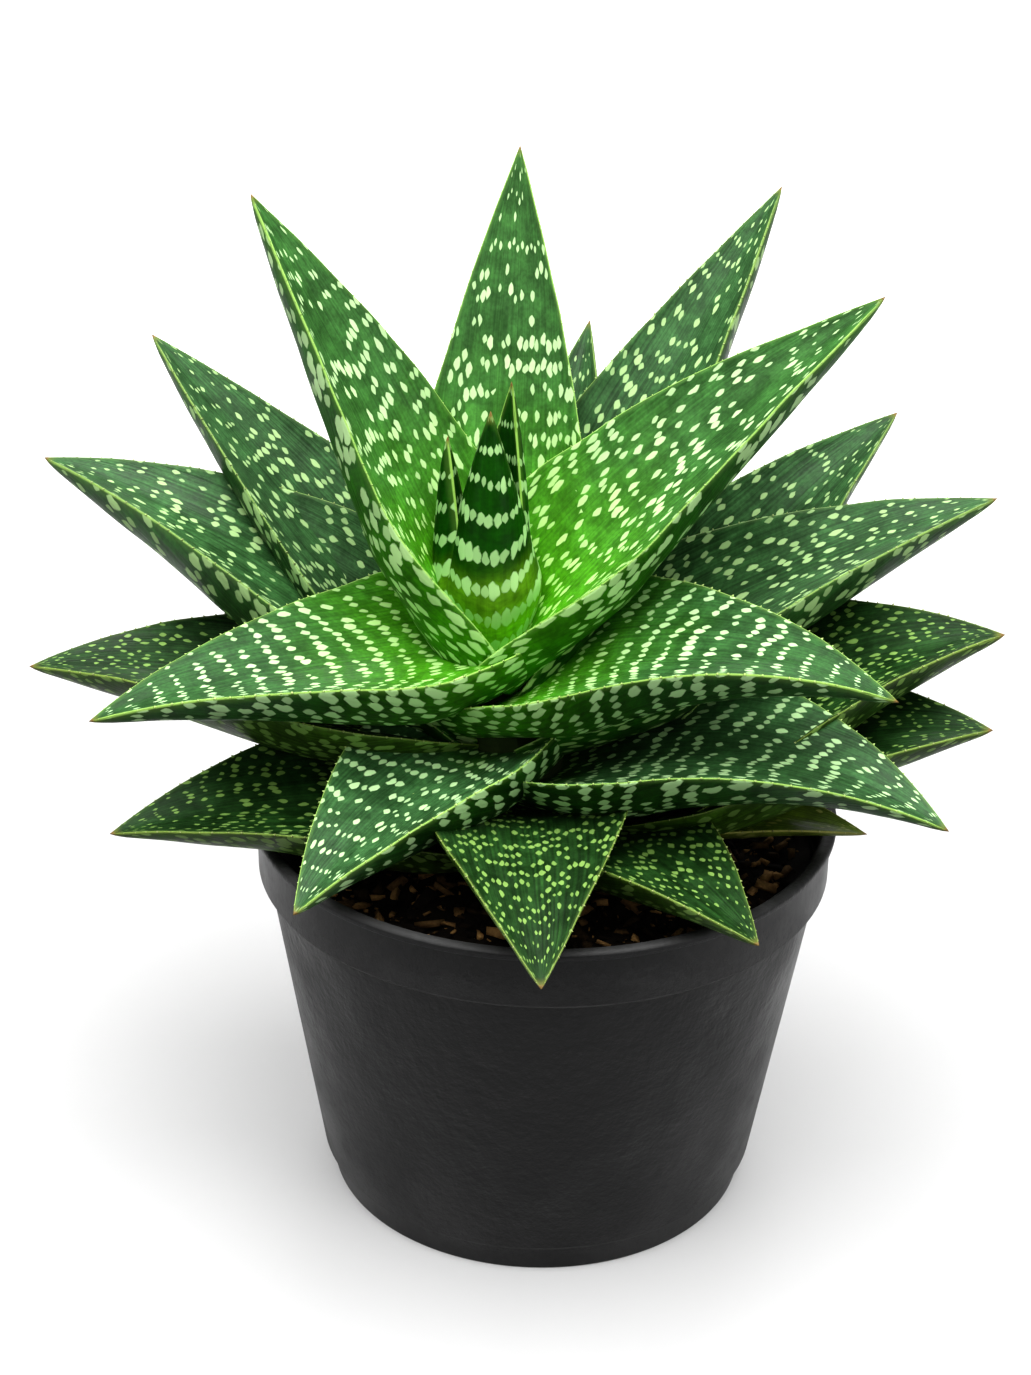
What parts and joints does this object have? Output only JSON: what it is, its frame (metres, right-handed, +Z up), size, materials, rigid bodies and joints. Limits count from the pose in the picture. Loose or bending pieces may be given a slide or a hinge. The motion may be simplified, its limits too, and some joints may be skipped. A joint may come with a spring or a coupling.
{
  "type": "potted aloe plant",
  "caption": "Rosette of thick, spotted, tooth-edged succulent leaves on a short stem, rooted in soil in a round black nursery pot.",
  "frame": {"origin": "middle of the pot's flat underside, on the surface it stands on", "axes": "+Z up along the pot's axis; the plant's pictured front faces -Y; +X is to the viewer's right"},
  "size_m": [0.2443, 0.2066, 0.2658],
  "materials": {
    "pot_plastic": "satin black moulded plastic, lightly scuffed",
    "potting_soil": "damp dark soil with bark and coir chips",
    "stem": "pale fleshy stem",
    "leaf_heart": "waxy young leaf, lime green with pale cross bands",
    "leaf_young": "waxy leaf, fresh green with white-green oval spots",
    "leaf_old": "waxy leaf, deep green with pale spots and lime margins",
    "leaf_yellow": "old leaf, dull yellow green"
  },
  "bodies": {
    "root": {"pot": "pot_plastic", "soil": "potting_soil", "stem": "stem", "leaf_01_heart": "leaf_heart", "leaf_02_heart_right": "leaf_heart", "leaf_03_heart_left": "leaf_heart", "leaf_04_left_upright": "leaf_young", "leaf_05_right_upright": "leaf_young", "leaf_06_back_upright": "leaf_young", "leaf_07_front_left": "leaf_young", "leaf_08_front_right": "leaf_young", "leaf_09_back_right": "leaf_old", "leaf_10_back_left": "leaf_old", "leaf_11_right": "leaf_old", "leaf_12_left": "leaf_old", "leaf_13_right_behind": "leaf_old", "leaf_14_back_middle": "leaf_old", "leaf_15_low_front_left": "leaf_old", "leaf_16_low_front_right": "leaf_old", "leaf_17_low_left": "leaf_old", "leaf_18_low_right": "leaf_old", "leaf_19_low_back": "leaf_old", "leaf_20_low_back_right": "leaf_old", "leaf_21_lowest_right": "leaf_old", "leaf_22_lowest_left": "leaf_old", "leaf_23_lowest_front": "leaf_old", "leaf_24_lowest_front_right": "leaf_old", "leaf_25_lowest_back_left": "leaf_old", "leaf_26_lowest_back_right": "leaf_old", "leaf_27_lowest_back": "leaf_old", "leaf_28_old_yellow": "leaf_yellow"}
  },
  "joints": []
}
